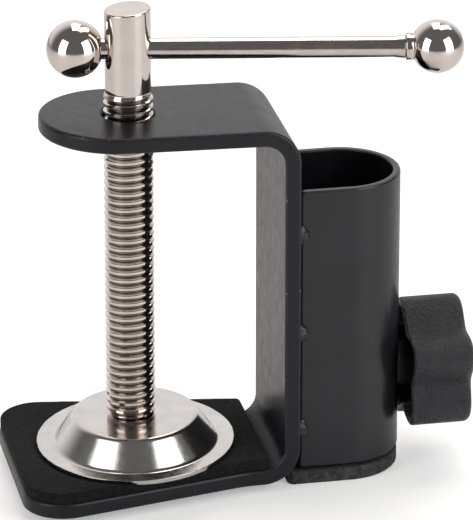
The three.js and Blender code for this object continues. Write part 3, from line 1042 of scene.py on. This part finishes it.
def floor():
    """A plain pale floor under the lowest point. It glows a little to the camera, and lights nothing."""
    look = Shader("pale_floor")
    look.colour(look.mix(look.noise(60, detail=2), (0.93, 0.93, 0.925), (0.95, 0.95, 0.945)))
    look.set(Roughness=0.55, Specular_IOR_Level=0.3, Emission_Color=(1, 1, 1, 1))
    rays = look.add("ShaderNodeLightPath")
    glow = look.spread(rays.outputs["Is Camera Ray"], 0, 1, 0, FLOOR_GLOW)
    look.link(glow, look.bsdf.inputs["Emission Strength"])
    bm = bmesh.new()
    bmesh.ops.create_grid(bm, x_segments=8, y_segments=8, size=FLOOR_HALF_SIZE)
    mesh = bpy.data.meshes.new("floor")
    bm.to_mesh(mesh)
    bm.free()
    mesh.materials.append(look.material)
    plane = bpy.data.objects.new("floor", mesh)
    plane.location.z = CAD_BOUNDS[0][2]
    bpy.context.scene.collection.objects.link(plane)


def towards(azimuth, elevation):
    """A direction: azimuth 0 is toward -Y, +90 toward +X, in degrees."""
    turn, lift = math.radians(azimuth), math.radians(elevation)
    flat = math.cos(lift)
    return Vector((math.sin(turn) * flat, -math.cos(turn) * flat, math.sin(lift)))


def softbox(name, direction, width, height, radiance, colour):
    """A rectangular light that faces the object, with its long side upright."""
    light = bpy.data.lights.new(name, "AREA")
    light.shape = "RECTANGLE"
    light.size = width
    light.size_y = height
    light.energy = radiance * math.pi * width * height
    light.color = colour
    item = bpy.data.objects.new(name, light)
    item.location = CENTRE + direction * LIGHT_DISTANCE
    item.rotation_euler = direction.to_track_quat("Z", "Y").to_euler()
    item.visible_camera = False
    bpy.context.scene.collection.objects.link(item)


def studio_world():
    """White far behind the object, dim above it and in front of it, and plain white to the camera."""
    world = bpy.data.worlds.new("studio")
    bpy.context.scene.world = world
    world.use_nodes = True
    tree = world.node_tree
    background = next(n for n in tree.nodes if n.type == "BACKGROUND")
    place = tree.nodes.new("ShaderNodeTexCoord")
    split = tree.nodes.new("ShaderNodeSeparateXYZ")
    tree.links.new(place.outputs["Generated"], split.inputs["Vector"])
    ramp = tree.nodes.new("ShaderNodeMapRange")
    ramp.interpolation_type = "SMOOTHSTEP"
    ends = {"From Min": 0.3, "From Max": 0.92, "To Min": 0.15, "To Max": 1.02}
    for name, value in ends.items():
        ramp.inputs[name].default_value = value
    tree.links.new(split.outputs["Y"], ramp.inputs["Value"])
    rays = tree.nodes.new("ShaderNodeLightPath")
    to_camera = tree.nodes.new("ShaderNodeMath")
    to_camera.operation = "MAXIMUM"
    tree.links.new(ramp.outputs["Result"], to_camera.inputs[0])
    tree.links.new(rays.outputs["Is Camera Ray"], to_camera.inputs[1])
    tree.links.new(to_camera.outputs["Value"], background.inputs["Strength"])
    background.inputs["Color"].default_value = (0.99, 0.98, 0.995, 1)


floor()
studio_world()
softbox("left_softbox", towards(CAMERA_AZIMUTH - 52, 17), width=0.42, height=0.80, radiance=2.7,
        colour=(1.0, 0.985, 0.975))
softbox("right_softbox", towards(CAMERA_AZIMUTH + 54, 17), width=0.45, height=0.80, radiance=3.2,
        colour=(1.0, 0.99, 0.99))
softbox("left_overhead", towards(170, 62), width=0.25, height=0.55, radiance=3.0,
        colour=(1.0, 0.95, 0.88))
softbox("right_overhead", towards(125, 58), width=0.25, height=0.55, radiance=3.0,
        colour=(1.0, 0.99, 0.98))

view = towards(CAMERA_AZIMUTH, CAMERA_ELEVATION)
camera_data = bpy.data.cameras.new("camera")
camera_data.lens = CAMERA_LENS
camera_data.sensor_width = 36
camera_data.clip_start = 0.01
camera = bpy.data.objects.new("camera", camera_data)
camera.location = AIM + view * CAMERA_DISTANCE
camera.rotation_euler = view.to_track_quat("Z", "Y").to_euler()
bpy.context.scene.collection.objects.link(camera)
bpy.context.scene.camera = camera
bpy.context.scene.view_settings.view_transform = "Standard"
